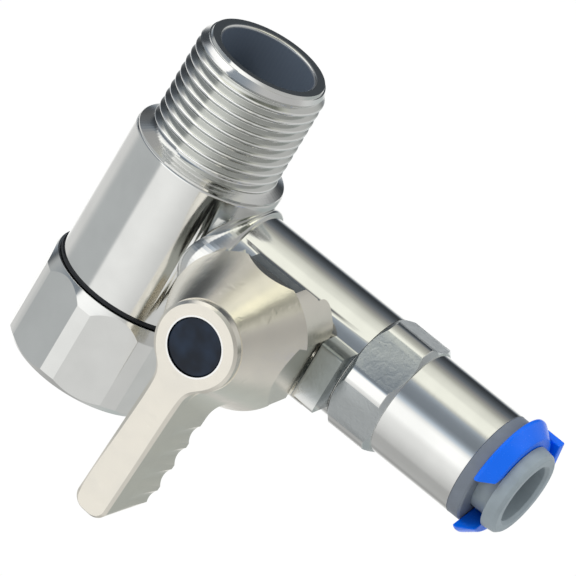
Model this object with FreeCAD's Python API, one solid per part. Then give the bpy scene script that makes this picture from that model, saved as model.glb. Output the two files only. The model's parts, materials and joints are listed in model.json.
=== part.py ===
"""Tee stop valve: a straight run with a threaded outlet and a swivel nut inlet,
and a side branch with a quarter-turn ball valve that ends in a push-fit tube socket.

Frame: origin at the centre of the inlet face, +Z along the run to the outlet thread,
+X along the branch to the tube socket, -Y towards the handle. Millimetres and degrees.
"""
import FreeCAD
import Part

import math
import os

V = FreeCAD.Vector

# Clearances
sliding_gap = 0.05          # radial, where a piece turns or slides in another
assembly_gap = 0.05         # between pieces of one body that are pushed together
running_gap = 0.15          # between curved faces that move past each other
stop_gap_deg = 1.0          # handle ear to its stops

# Rubber rings
seal_sides = 6              # sides of a ring's section

# Run
run_r = 12.2
run_below_axis = 12.5       # branch axis to the lower end of the run
run_above_axis = 11.2       # branch axis to the shoulder under the outlet thread
run_lip = 0.6               # broken edge of the shoulder
run_bore_r = 7.6
outlet_thread_r = 10.4775   # G1/2 major radius
outlet_thread_length = 18.1
outlet_thread_pitch = 1.61  # crest to crest
outlet_thread_depth = 0.9
outlet_thread_land = 0.25   # width of a crest
outlet_thread_relief = 1.2  # least length of the turned-down neck at the shoulder
outlet_end_chamfer_radial = 1.2
outlet_end_chamfer_axial = 1.8
outlet_mouth_chamfer = 0.5

# Swivel nut
nut_across_flats = 26.0
nut_corner_r = 13.6         # the corners are turned down to this radius
nut_sides = 8
nut_height = 15.4
nut_end_chamfer_radial = 0.9
nut_end_chamfer_axial = 1.2
nut_top_chamfer_radial = 0.75
nut_top_chamfer_axial = 2.1
nut_collar_thickness = 3.0
nut_relief_r = 10.6         # above the thread, round the flat washer
nut_thread_clear = 0.1      # the nut's thread ends this far below the washer
inlet_minor_r = 9.3155      # G1/2 minor radius
nut_play = 0.1              # axial play of the nut under its slip washer
slip_washer_thickness = 0.5
slip_washer_r = 13.2

# Spigot inside the nut
spigot_r = 8.5
spigot_bore_r = 6.8
spigot_bore_above = 3.5     # the narrow bore goes on above the spigot by this much
snap_ring_thickness = 1.0
snap_ring_wire = 1.3        # radial width of the ring
snap_ring_gap_deg = 30.0
snap_groove_depth = 0.6
spigot_land = 1.0           # spigot below the groove
inlet_washer_thickness = 2.0
inlet_washer_r = 9.1

# Branch and ball chamber
stem_x = 23.1               # run axis to stem axis
branch_r = 9.05
collar_r = 9.7              # raised ring where the branch leaves the run
collar_x = 12.8
collar_edge = 0.6
port_r = 3.6
chamber_r = 6.9
ball_r = 6.0
ball_bore_r = 3.25
seat_face = 3.7             # ball centre to the open face of a seat
seat_length = 3.9
nose_length = 7.0
nose_wall_r = 7.4           # bore in the branch for the screwed-in nose

# Stem boss and stops on the branch
pad_half = 6.7              # square foot of the stem boss
pad_height = 12.0           # branch axis to the top of the foot
boss_r = 6.0
boss_height = 19.5
block_to_hex = 0.1
block_length = 4.3
block_below = 5.4           # branch axis to the side of the block away from the ear
block_height = 12.5
block_edge_r = 0.7
ledge_width = 1.2           # ledge of the block behind the handle's tongue
ledge_below_block = 0.3
tongue_over_ledge = 1.0
far_stop_height = 10.3
far_stop_r = 10.6           # less than the skirt, so that the hub covers it
far_stop_span_deg = 12.0

# Stem
stem_r = 3.5
stem_flange_r = 4.15
stem_flange_thickness = 1.6
thrust_washer_thickness = 0.6
tang_half = 0.95
tang_depth = 2.5
slot_floor = 4.1
o_ring_section_r = 0.48
o_ring_root_r = 2.45
o_ring_groove_width = 1.2
o_ring_heights = (11.5, 14.5)
drive_half = 2.475          # square end that carries the handle
drive_end_gap = 0.3         # end of the square below the floor of the eye's recess
screw_hole_depth = 8.0

# Handle
face_height = 30.3          # branch axis to the handle's front face
eye_r = 6.86
eye_step = 1.8              # height of the eye above the top of the cone
cone_top_r = 6.95
skirt_r = 11.85
skirt_height = 17.8
skirt_cavity_r = 8.5
cavity_top_r = 7.0
cavity_roof = 2.0           # thickness between the hollow under the hub and the eye's recess
socket_r = 5.4
socket_base = 20.3
lever_rest_deg = 2.5        # the closed lever stands this far past the run's direction
lever_depth = 8.3           # front face to the lever's back
lever_front_half = 2.8
lever_back_half = 4.9
lever_front_tip = 32.2      # stem axis to the end of the lever, at its front face
lever_back_tip = 30.3
lever_front_corner = 2.2
lever_back_corner = 3.4
lever_front_blend = 4.0     # fillet between eye and lever, in plan
lever_back_blend = 6.0
lever_wall = 1.5
pocket_start = 12.5         # stem axis to the near end of the hollow in the lever's back
lever_face_wall = 1.6       # thickness of the lever's front
face_edge = 0.4
grip_count = 4
grip_first = 15.0
grip_pitch = 4.2
grip_r = 3.0
grip_depth = 0.5
grip_fade_depth = 2.7       # the grips run out to nothing this far below the front face
grip_overrun = 0.2          # share of a cutter's length added below the lever
ear_start_deg = 25.5
ear_root_end_deg = 66.0     # the ear is wider where it leaves the skirt
ear_tip_end_deg = 55.0
ear_r = 11.6
ear_inner_r = 9.75
ear_root_height = 12.3      # branch axis to the end of the wide part
ear_root_chamfer = 1.9
ear_tip_height = 9.5        # branch axis to the tip of the ear
ear_corner_r = 1.5
flat_to_block = 0.12        # handle's flat to the stop block beside it
far_flat_distance = 11.0    # stem axis to the hub's other flat, on the side away from the lever
tongue_below = 5.9          # stem axis to the side of the tongue away from the ear
tongue_over_block = 0.1     # the tongue passes in front of the block

# Handle fixings
cap_r = 4.42
cap_depth = 0.2             # face of the cap below the handle's face
cap_thickness = 0.8
cap_wall = 0.6
cap_edge = 0.2
recess_depth = 3.7          # eye's recess below the front face
screw_r = 1.5
screw_head_r = 2.9
screw_head_height = 1.9
screw_head_edge = 0.7
screw_length = 7.6
screw_washer_r = 4.1
screw_washer_thickness = 0.6

# Push-fit outlet
hex_start = 37.8
hex_length = 8.2
hex_across_flats = 18.1
hex_corner_r = 9.83
hex_end_chamfer = 0.8
hex_corner_deg = 13.5       # angle of one corner, from the handle side towards the outlet thread
sleeve_r = 8.8
sleeve_past_cartridge = 2.97
nose_seal_distance = 1.9    # hex to the middle of the nose seal
nose_seal_section_r = 0.5
nose_seal_groove_width = 1.3
tube_r = 4.7625             # 3/8 inch tube
tube_stop = 47.6
tube_seat_length = 5.0
socket_clearance = 0.14
cartridge_r = 7.15
tube_seal_section_r = 1.14
spacer_length = 1.5
grab_ring_thickness = 0.3
grab_teeth = 12
grab_tooth_gap_deg = 9.0
grab_ring_lean = 0.9        # the teeth lean into the socket by this much
cap_ring_length = 2.3
cap_ring_r = 8.75
cap_ring_bore_r = 6.0
cap_ring_lip = 3.6          # wide inner part of the ring's bore, for the collet's lip
cap_ring_edge = 0.3
collet_bore_r = 4.9
collet_neck_r = 5.9
collet_lip_r = 6.5
collet_lip_length = 1.2
collet_flange_length = 2.4
collet_flange_back_r = 7.3
collet_flange_front_r = 6.85
collet_mouth_chamfer = 0.5
collet_edge_length = 0.5    # rounded front edge of the flange
collet_edge_inset = 0.3
collet_flange_swell = 0.2   # the flange is this much wider just behind its edge
clip_back_r = 10.2
clip_length = 2.8
clip_rim_length = 0.6       # full radius over this length, then a cone to the front
clip_front_r = 8.5
clip_mouth_half = 5.0       # half width of the clip's mouth, less than the neck's radius
clip_mouth_deg = -20.0      # direction of the mouth, from the handle side
clip_tab_half = 3.3
clip_tab_reach = 10.3
clip_tab_thickness = 1.4
clip_tab_length = 3.7

# Heights and places that follow
block_x = hex_start - block_to_hex - block_length
flat_distance = block_x - stem_x - flat_to_block
tongue_height = block_height + tongue_over_block
ledge_height = tongue_height - tongue_over_ledge
lever_back = face_height - lever_depth
recess_floor = face_height - recess_depth
pocket_ceiling = face_height - lever_face_wall
grip_fade_height = face_height - grip_fade_depth
cavity_top = recess_floor - cavity_roof
run_base = nut_height + nut_play + slip_washer_thickness
axis_height = run_base + run_below_axis
run_shoulder = axis_height + run_above_axis
outlet_end = run_shoulder + outlet_thread_length
collar_underside = nut_height - nut_collar_thickness
snap_ring_top = collar_underside - nut_play
snap_ring_base = snap_ring_top - snap_ring_thickness
spigot_end = snap_ring_base - assembly_gap - spigot_land
branch_end = hex_start - assembly_gap
chamber_start = stem_x - seat_face - seat_length - assembly_gap
nose_tip = stem_x + seat_face + seat_length + assembly_gap
nose_bore_start = nose_tip - assembly_gap
hex_end = hex_start + hex_length
cartridge_start = tube_stop + tube_seat_length
spacer_start = cartridge_start + 2 * (tube_seal_section_r + assembly_gap)
grab_start = spacer_start + spacer_length + grab_ring_lean
cap_ring_start = grab_start + grab_ring_thickness + assembly_gap
sleeve_end = cap_ring_start + sleeve_past_cartridge
cap_ring_front = sleeve_end + cap_ring_length
collet_flange_back = cap_ring_front + clip_length + 2 * assembly_gap
collet_front = collet_flange_back + collet_flange_length
stem_flange_base = chamber_r + 2 * assembly_gap
stem_shoulder = socket_base - 2 * assembly_gap
drive_top = recess_floor - drive_end_gap


# Shapes and places

def turned(points):
    """Solid of revolution about Z from a closed outline of (radius, height) points."""
    corners = [V(r, 0, h) for r, h in points]
    outline = Part.makePolygon(corners + corners[:1])
    return Part.Face(outline).revolve(V(0, 0, 0), V(0, 0, 1), 360)


def cylinder(radius, low, high):
    """Cylinder on the local Z axis between two heights."""
    return Part.makeCylinder(radius, high - low, V(0, 0, low))


def ring(outer_r, inner_r, low, high):
    """Plain ring on the local Z axis."""
    return turned([(inner_r, low), (outer_r, low), (outer_r, high), (inner_r, high)])


def box(x0, x1, y0, y1, z0, z1):
    """Box between two corners."""
    return Part.makeBox(x1 - x0, y1 - y0, z1 - z0, V(x0, y0, z0))


def sector(start_deg, end_deg, reach, low, high):
    """Wedge about the local Z axis, long enough to cut out part of a ring."""
    corners = [V(0, 0, low)]
    for angle in (start_deg, end_deg):
        a = math.radians(angle)
        corners.append(V(reach * math.cos(a), reach * math.sin(a), low))
    outline = Part.makePolygon(corners + corners[:1])
    return Part.Face(outline).extrude(V(0, 0, high - low))


def prism(sides, across_flats, corner_deg, low, high):
    """Regular prism on the local Z axis with one corner at the given angle."""
    circle_r = across_flats / 2 / math.cos(math.pi / sides)
    corners = []
    for i in range(sides):
        a = math.radians(corner_deg + 360.0 * i / sides)
        corners.append(V(circle_r * math.cos(a), circle_r * math.sin(a), low))
    outline = Part.makePolygon(corners + corners[:1])
    return Part.Face(outline).extrude(V(0, 0, high - low))


def on_branch(shape):
    """Lays a shape built on the local Z axis along the branch."""
    shape.rotate(V(0, 0, 0), V(0, 1, 0), 90)
    shape.translate(V(0, 0, axis_height))
    return shape


def branch_angle(from_handle_deg):
    """Local angle of a direction given from the handle side towards the outlet thread."""
    return -90.0 - from_handle_deg


def on_stem(shape):
    """Stands a shape built on the local Z axis on the stem axis, towards the handle."""
    shape.rotate(V(0, 0, 0), V(1, 0, 0), 90)
    shape.translate(V(stem_x, 0, axis_height))
    return shape


def edges_at(shape, axis, level, reach=1e9):
    """Edges that lie in the plane at one level of X, Y or Z, no further from the local Z axis than reach."""
    found = []
    for edge in shape.Edges:
        b = edge.BoundBox
        low, high = {"x": (b.XMin, b.XMax), "y": (b.YMin, b.YMax), "z": (b.ZMin, b.ZMax)}[axis]
        far = max(abs(b.XMin), abs(b.XMax), abs(b.YMin), abs(b.YMax))
        if abs(low - level) < 1e-4 and abs(high - level) < 1e-4 and far < reach:
            found.append(edge)
    return found


# Run, spigot and branch in one casting

def run_outside():
    """Run with the broken edge of its shoulder, the threaded end and the spigot."""
    run = turned([
        (0, run_base),
        (run_r, run_base),
        (run_r, run_shoulder - run_lip),
        (run_r - run_lip, run_shoulder),
        (0, run_shoulder),
    ])
    spigot = cylinder(spigot_r, spigot_end, run_base)
    return run.fuse([outlet_thread(), spigot])


def outlet_thread():
    """Threaded end: a turned-down neck, crests and grooves at the thread's pitch, and the end chamfer."""
    top = outlet_end - outlet_end_chamfer_axial
    root_r = outlet_thread_r - outlet_thread_depth
    room = top - outlet_thread_land - run_shoulder - outlet_thread_relief
    grooves = math.floor(room / outlet_thread_pitch)
    half_groove = (outlet_thread_pitch - outlet_thread_land) / 2
    crest = top - outlet_thread_land - grooves * outlet_thread_pitch
    points = [(0, run_shoulder), (root_r, run_shoulder)]
    for i in range(grooves + 1):
        points.append((root_r, crest - half_groove))
        points.append((outlet_thread_r, crest))
        points.append((outlet_thread_r, crest + outlet_thread_land))
        crest += outlet_thread_pitch
    points += [(outlet_thread_r - outlet_end_chamfer_radial, outlet_end), (0, outlet_end)]
    return turned(points)


def snap_groove():
    """Groove of the snap ring round the spigot."""
    low = snap_ring_base - assembly_gap
    high = snap_ring_top + assembly_gap
    return ring(spigot_r + 1, spigot_r - snap_groove_depth, low, high)


def run_bores():
    """Waterway through the run, with a chamfered mouth in the outlet."""
    wide = cylinder(run_bore_r, run_base + spigot_bore_above, outlet_end + 1)
    narrow = cylinder(spigot_bore_r, spigot_end - 1, run_base + spigot_bore_above)
    mouth = turned([
        (0, outlet_end - outlet_mouth_chamfer),
        (run_bore_r, outlet_end - outlet_mouth_chamfer),
        (run_bore_r + outlet_mouth_chamfer, outlet_end),
        (0, outlet_end),
    ])
    return wide.fuse([narrow, mouth])


def branch_outside():
    """Branch tube with the raised ring at its root."""
    outline = turned([
        (0, 0),
        (collar_r, 0),
        (collar_r, collar_x - collar_edge),
        (collar_r - collar_edge / 2, collar_x),
        (branch_r, collar_x),
        (branch_r, branch_end),
        (0, branch_end),
    ])
    return on_branch(outline)


def branch_bores():
    """Port from the run, ball chamber and the bore for the screwed-in nose."""
    return on_branch(turned([
        (0, 0),
        (port_r, 0),
        (port_r, chamber_start),
        (chamber_r, chamber_start),
        (chamber_r, nose_bore_start),
        (nose_wall_r, nose_bore_start),
        (nose_wall_r, branch_end + 1),
        (0, branch_end + 1),
    ]))


def stem_boss():
    """Square foot and round neck that guide the stem."""
    foot = box(-pad_half, pad_half, -pad_half, pad_half, 0, pad_height)
    neck = cylinder(boss_r, pad_height, boss_height)
    return on_stem(foot.fuse(neck))


def stem_bores():
    """Guide bore of the stem and the shelf that holds the stem in."""
    guide = cylinder(stem_r + sliding_gap, 0, boss_height + 1)
    shelf = cylinder(stem_flange_r + running_gap, 0, shelf_height())
    return on_stem(guide.fuse(shelf))


def shelf_height():
    """Height of the shelf over the stem's flange and its washer."""
    return stem_flange_base + stem_flange_thickness + thrust_washer_thickness + sliding_gap


def stop_block():
    """Block beside the hexagon that the closed handle's ear rests against."""
    toward_ear = (block_x - stem_x) * math.tan(math.radians(ear_start_deg - stop_gap_deg))
    block = box(block_x, block_x + block_length, -block_height, 0, -block_below, toward_ear)
    front = [e for e in edges_at(block, "y", -block_height) if e.BoundBox.XMin < block_x + block_length / 2]
    block = block.makeFillet(block_edge_r, front)
    low_side = -block_below - ledge_below_block
    ledge = box(block_x - ledge_width, block_x + block_length / 2, -ledge_height, 0, low_side, 0)
    block = block.fuse(ledge)
    block.translate(V(0, 0, axis_height))
    return block


def far_stop():
    """Lug that the open handle's ear comes to."""
    start = ear_tip_end_deg + 90.0 + stop_gap_deg
    band = ring(far_stop_r, ear_inner_r, 0, far_stop_height)
    wedge = sector(start, start + far_stop_span_deg, 2 * skirt_r, 0, far_stop_height)
    return on_stem(band.common(wedge))


def valve_body():
    """Run and branch casting with its boss, stops and bores."""
    body = run_outside().fuse([branch_outside(), stem_boss(), stop_block(), far_stop()])
    body = body.cut(run_bores())
    body = body.cut(branch_bores())
    body = body.cut(stem_bores())
    body = body.cut(snap_groove())
    return body.removeSplitter()


# Swivel nut and what it turns on

def swivel_nut():
    """Eight-sided nut with turned ends, a collar above and the inlet thread's core below."""
    envelope = turned([
        (0, 0),
        (nut_corner_r - nut_end_chamfer_radial, 0),
        (nut_corner_r, nut_end_chamfer_axial),
        (nut_corner_r, nut_height - nut_top_chamfer_axial),
        (nut_corner_r - nut_top_chamfer_radial, nut_height),
        (0, nut_height),
    ])
    blank = prism(nut_sides, nut_across_flats, -90.0, 0, nut_height).common(envelope)
    relief_base = spigot_end - inlet_washer_thickness - nut_thread_clear
    bore = turned([
        (0, 0),
        (inlet_minor_r, 0),
        (inlet_minor_r, relief_base),
        (nut_relief_r, relief_base),
        (nut_relief_r, collar_underside),
        (spigot_r + sliding_gap, collar_underside),
        (spigot_r + sliding_gap, nut_height),
        (0, nut_height),
    ])
    return blank.cut(bore)


def slip_washer():
    """Black washer between the nut and the run."""
    return ring(slip_washer_r, spigot_r + assembly_gap, run_base - slip_washer_thickness, run_base)


def snap_ring():
    """Open ring in the spigot's groove that holds the nut's collar."""
    inner_r = spigot_r - snap_groove_depth + assembly_gap
    whole = ring(inner_r + snap_ring_wire, inner_r, snap_ring_base, snap_ring_top)
    half_gap = snap_ring_gap_deg / 2
    return whole.cut(sector(180 - half_gap, 180 + half_gap, 2 * spigot_r, snap_ring_base, snap_ring_top))


def inlet_washer():
    """Flat sealing washer under the spigot."""
    return ring(inlet_washer_r, spigot_bore_r, spigot_end - inlet_washer_thickness, spigot_end)


# Ball, seats and stem

def ball():
    """Ball in the closed position, its bore along the run and its slot along the branch."""
    sphere = Part.makeSphere(ball_r)
    bore = Part.makeCylinder(ball_bore_r, 4 * ball_r, V(0, -2 * ball_r, 0), V(0, 1, 0))
    slot_half = tang_half + assembly_gap
    slot = box(-ball_r, ball_r, -slot_half, slot_half, slot_floor, ball_r)
    return on_stem(sphere.cut(bore.fuse(slot)))


def seat(side):
    """Seat ring on one side of the ball, -1 towards the run and +1 towards the socket."""
    near = stem_x + side * seat_face
    far = stem_x + side * (seat_face + seat_length)
    low, high = min(near, far), max(near, far)
    blank = ring(chamber_r - assembly_gap, port_r, low, high)
    cup = Part.makeSphere(ball_r + running_gap, V(0, 0, stem_x))
    return on_branch(blank.cut(cup))


def stem():
    """Stem with its flange, tang, two ring grooves and square drive."""
    flange_top = stem_flange_base + stem_flange_thickness
    points = [(0, stem_flange_base), (stem_flange_r, stem_flange_base), (stem_flange_r, flange_top)]
    points.append((stem_r, flange_top))
    for middle in o_ring_heights:
        low = middle - o_ring_groove_width / 2
        high = middle + o_ring_groove_width / 2
        points += [(stem_r, low), (o_ring_root_r, low), (o_ring_root_r, high), (stem_r, high)]
    points += [(stem_r, stem_shoulder), (0, stem_shoulder)]
    shank = turned(points)
    tang = box(-stem_r, stem_r, -tang_half, tang_half, stem_flange_base - tang_depth, stem_flange_base)
    tang = tang.common(cylinder(stem_r, 0, stem_flange_base))
    drive = box(-drive_half, drive_half, -drive_half, drive_half, stem_shoulder, drive_top)
    hole = cylinder(screw_r + assembly_gap, drive_top - screw_hole_depth, drive_top)
    return on_stem(shank.fuse([tang, drive]).cut(hole))


def thrust_washer():
    """Washer between the stem's flange and the shelf in the boss."""
    low = stem_flange_base + stem_flange_thickness
    return on_stem(ring(stem_flange_r, stem_r + assembly_gap, low, low + thrust_washer_thickness))


def seal_ring(middle_r, section_r, height):
    """Rubber ring about the local Z axis, its section a regular figure of seal_sides sides."""
    points = []
    for i in range(seal_sides):
        a = 2 * math.pi * i / seal_sides
        points.append((middle_r + section_r * math.cos(a), height + section_r * math.sin(a)))
    return turned(points)


def stem_o_ring(height):
    """Seal in one of the stem's grooves."""
    middle_r = o_ring_root_r + o_ring_section_r + assembly_gap / 2
    return on_stem(seal_ring(middle_r, o_ring_section_r, height))


# Handle

def between(front, back, height):
    """Value of a lever size at one height, straight between its back and its front."""
    share = (height - lever_back) / (face_height - lever_back)
    return back + (front - back) * share


def lever_half(height):
    """Half width of the lever at one height."""
    return between(lever_front_half, lever_back_half, height)


def cone_r(height):
    """Radius of the hub's cone at one height."""
    share = (height - skirt_height) / (face_height - eye_step - skirt_height)
    return skirt_r + (cone_top_r - skirt_r) * share


def arc(centre, radius, start_deg, end_deg, height):
    """Arc in a level plane."""
    points = []
    for angle in (start_deg, (start_deg + end_deg) / 2, end_deg):
        a = math.radians(angle)
        points.append(V(centre[0] + radius * math.cos(a), centre[1] + radius * math.sin(a), height))
    return Part.Arc(*points).toShape()


def plan_outline(round_r, height):
    """Outline of hub and lever at one height, with the fillets that join them."""
    half = lever_half(height)
    blend = between(lever_front_blend, lever_back_blend, height)
    tip = -between(lever_front_tip, lever_back_tip, height)
    corner = between(lever_front_corner, lever_back_corner, height)
    blend_u = half + blend
    blend_v = -math.sqrt((round_r + blend) ** 2 - blend_u ** 2)
    touch = math.degrees(math.atan2(blend_v, blend_u))
    foot = tip + corner
    return Part.Wire([
        Part.makeLine(V(half, foot, height), V(half, blend_v, height)),
        arc((blend_u, blend_v), blend, 180, 180 + touch, height),
        arc((0, 0), round_r, touch, 90, height),
        arc((0, 0), round_r, 90, 180 - touch, height),
        arc((-blend_u, blend_v), blend, -touch, 0, height),
        Part.makeLine(V(-half, blend_v, height), V(-half, foot, height)),
        arc((corner - half, foot), corner, 180, 270, height),
        Part.makeLine(V(corner - half, tip, height), V(half - corner, tip, height)),
        arc((half - corner, foot), corner, 270, 360, height),
    ])


def hub_and_lever():
    """Outer form: cone and lever blended, the raised eye on top and the skirt below."""
    cone_top = face_height - eye_step
    low_wire = plan_outline(cone_r(lever_back), lever_back)
    main = Part.makeLoft([low_wire, plan_outline(cone_top_r, cone_top)], True, True)
    eye = Part.makeLoft([plan_outline(eye_r, cone_top), plan_outline(eye_r, face_height)], True, True)
    eye = eye.makeChamfer(face_edge, edges_at(eye, "z", face_height))
    skirt = turned([(0, skirt_height), (skirt_r, skirt_height), (cone_r(lever_back), lever_back), (0, lever_back)])
    return main.fuse([eye, skirt])


def lever_pocket():
    """Hollow in the lever's back, an even wall inside the lever."""
    wires = []
    for height in (lever_back, pocket_ceiling):
        half = lever_half(height) - lever_wall
        end = between(lever_front_tip, lever_back_tip, height) - lever_wall
        inset = (height - lever_back) / 4
        corners = [(-half, -end), (half, -end), (half, -pocket_start - inset), (-half, -pocket_start - inset)]
        points = [V(u, v, height) for u, v in corners]
        wires.append(Part.makePolygon(points + points[:1]))
    return Part.makeLoft(wires, True, True)


def grip_cuts():
    """Finger grips on both sides of the lever, deepest at its back."""
    cuts = []
    low_u = lever_half(lever_back) - grip_depth + grip_r
    high_u = lever_half(grip_fade_height) + grip_r
    for side in (-1, 1):
        run = V(side * (high_u - low_u), 0, grip_fade_height - lever_back)
        start = V(side * low_u, 0, lever_back)
        for i in range(grip_count):
            place = start - run * grip_overrun
            place.y = -(grip_first + i * grip_pitch)
            cuts.append(Part.makeCylinder(grip_r, run.Length * (1 + grip_overrun), place, run))
    return cuts


def ear_part(end_deg, low, high):
    """Piece of the ear's curved wall from the block's side to the given angle."""
    band = ring(ear_r, ear_inner_r, low, high)
    return band.common(sector(ear_start_deg, end_deg, 2 * ear_r, low, high))


def end_edges(shape, low, near, far):
    """Radial edges in the plane at one height, those of the near end and those of the far end."""
    found = []
    for edge in edges_at(shape, "z", low):
        if abs(edge.Length - (ear_r - ear_inner_r)) < 1e-3:
            middle = edge.BoundBox.Center
            is_near = math.degrees(math.atan2(middle.y, middle.x)) < ear_start_deg + 1
            if (is_near and near) or (not is_near and far):
                found.append(edge)
    return found


def skirt_ear():
    """Ear under the skirt that meets the stops, a wide root and a narrower tip."""
    root = ear_part(ear_root_end_deg, ear_root_height, skirt_height)
    root = root.makeChamfer(ear_root_chamfer, end_edges(root, ear_root_height, False, True))
    tip = ear_part(ear_tip_end_deg, ear_tip_height, skirt_height)
    tip = tip.makeFillet(ear_corner_r, end_edges(tip, ear_tip_height, True, True))
    return root.fuse(tip)


def skirt_tongue():
    """Tongue that carries the handle's flat down to the stop block."""
    band = ring(skirt_r, skirt_cavity_r, tongue_height, skirt_height)
    width = box(0, 2 * skirt_r, -tongue_below, tongue_above(), tongue_height, skirt_height)
    return band.common(width)


def hub_cavity():
    """Hollow under the hub with the stem socket standing in it."""
    hollow = turned([
        (socket_r, tongue_height - 1),
        (skirt_cavity_r, tongue_height - 1),
        (skirt_cavity_r, skirt_height),
        (cavity_top_r, cavity_top),
        (socket_r, cavity_top),
    ])
    below = cylinder(socket_r, tongue_height - 1, socket_base)
    return hollow.fuse(below)


def handle():
    """One casting: hub, lever, ear and flat."""
    form = hub_and_lever()
    form = form.cut(lever_pocket())
    form = form.cut(grip_cuts())
    form.rotate(V(0, 0, 0), V(0, 0, 1), -lever_rest_deg)
    form = form.fuse([skirt_ear(), skirt_tongue()])
    form = form.cut(hub_cavity())
    form = form.cut(box(flat_distance, 2 * skirt_r, -skirt_r, tongue_above(), 0, flat_top(flat_distance)))
    form = form.cut(box(-skirt_r, skirt_r, far_flat_distance, 2 * skirt_r, 0, flat_top(far_flat_distance)))
    form = form.cut(cylinder(cap_r + assembly_gap, recess_floor, face_height + 1))
    hole_half = drive_half + assembly_gap
    form = form.cut(box(-hole_half, hole_half, -hole_half, hole_half, socket_base - 1, recess_floor + 1))
    return on_stem(form.removeSplitter())


def tongue_above():
    """Side of the flat and its tongue nearest the ear, where the ear's end face begins."""
    return flat_distance * math.tan(math.radians(ear_start_deg))


def flat_top(distance):
    """Height at which a flat runs out of the cone, with a little over."""
    share = (skirt_r - distance) / (skirt_r - cone_top_r)
    return skirt_height + share * (face_height - eye_step - skirt_height) + 1


def handle_screw():
    """Pan-head screw that draws the handle on to the stem."""
    base = recess_floor + screw_washer_thickness
    head = cylinder(screw_head_r, base, base + screw_head_height)
    head = head.makeChamfer(screw_head_edge, edges_at(head, "z", base + screw_head_height))
    shank = cylinder(screw_r, base - screw_length, base)
    return on_stem(head.fuse(shank))


def screw_washer():
    """Washer under the screw's head."""
    return on_stem(ring(screw_washer_r, screw_r + assembly_gap, recess_floor, recess_floor + screw_washer_thickness))


def handle_cap():
    """Dark cap that closes the eye."""
    top = face_height - cap_depth
    base = recess_floor + screw_washer_thickness + assembly_gap
    disc = cylinder(cap_r, top - cap_thickness, top)
    disc = disc.makeChamfer(cap_edge, edges_at(disc, "z", top))
    wall = ring(cap_r, cap_r - cap_wall, base, top - cap_thickness)
    return on_stem(disc.fuse(wall))


# Push-fit outlet

def outlet_body():
    """Hexagon and polished sleeve with a nose that screws into the branch."""
    end_r = hex_corner_r - hex_end_chamfer
    envelope = turned([
        (0, hex_start),
        (end_r, hex_start),
        (hex_corner_r, hex_start + hex_end_chamfer),
        (hex_corner_r, hex_end - hex_end_chamfer),
        (end_r, hex_end),
        (0, hex_end),
    ])
    hexagon = prism(6, hex_across_flats, branch_angle(hex_corner_deg), hex_start, hex_end).common(envelope)
    nose_r = nose_wall_r - assembly_gap
    seal_x = hex_start - nose_seal_distance
    groove_r = nose_r - 2 * nose_seal_section_r - assembly_gap
    nose = turned([
        (0, nose_tip),
        (nose_r, nose_tip),
        (nose_r, seal_x - nose_seal_groove_width / 2),
        (groove_r, seal_x - nose_seal_groove_width / 2),
        (groove_r, seal_x + nose_seal_groove_width / 2),
        (nose_r, seal_x + nose_seal_groove_width / 2),
        (nose_r, hex_start),
        (0, hex_start),
    ])
    sleeve = cylinder(sleeve_r, hex_end, sleeve_end)
    seat_r = tube_r + socket_clearance
    bores = turned([
        (0, nose_tip),
        (port_r, nose_tip),
        (port_r, tube_stop),
        (seat_r, tube_stop),
        (seat_r, cartridge_start),
        (cartridge_r, cartridge_start),
        (cartridge_r, sleeve_end),
        (0, sleeve_end),
    ])
    return on_branch(hexagon.fuse([nose, sleeve]).cut(bores).removeSplitter())


def nose_seal():
    """Seal in the nose's groove."""
    middle_r = nose_wall_r - assembly_gap - nose_seal_section_r
    return on_branch(seal_ring(middle_r, nose_seal_section_r, hex_start - nose_seal_distance))


def tube_seal():
    """Seal that grips the tube, at the end of the tube's seat."""
    middle_r = cartridge_r - tube_seal_section_r - assembly_gap / 2
    return on_branch(seal_ring(middle_r, tube_seal_section_r, cartridge_start + tube_seal_section_r + assembly_gap))


def spacer_ring():
    """Ring that keeps the seal off the teeth."""
    end = spacer_start + spacer_length
    return on_branch(ring(cartridge_r - assembly_gap, tube_r + 2 * socket_clearance, spacer_start, end))


def grab_ring():
    """Thin steel ring whose teeth lean into the socket."""
    rim_r = collet_lip_r
    base = grab_start
    tip = base - grab_ring_lean
    outer_r = cartridge_r - assembly_gap
    inner_r = tube_r + socket_clearance / 2
    whole = turned([
        (inner_r, tip),
        (rim_r, base),
        (outer_r, base),
        (outer_r, base + grab_ring_thickness),
        (rim_r, base + grab_ring_thickness),
        (inner_r, tip + grab_ring_thickness),
    ])
    for i in range(grab_teeth):
        middle = 360.0 * i / grab_teeth
        half = grab_tooth_gap_deg / 2
        slot = sector(middle - half, middle + half, rim_r, tip - 1, base + 1)
        whole = whole.cut(slot)
    return on_branch(whole)


def cartridge_cap():
    """Dark ring that closes the sleeve and holds the collet's lip."""
    wide_end = cap_ring_start + cap_ring_lip
    front = cap_ring_front
    return on_branch(turned([
        (collet_lip_r + running_gap, cap_ring_start),
        (cartridge_r - assembly_gap, cap_ring_start),
        (cartridge_r - assembly_gap, sleeve_end),
        (cap_ring_r, sleeve_end),
        (cap_ring_r, front - cap_ring_edge),
        (cap_ring_r - cap_ring_edge, front),
        (cap_ring_bore_r, front),
        (cap_ring_bore_r, wide_end),
        (collet_lip_r + running_gap, wide_end),
    ]))


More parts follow.
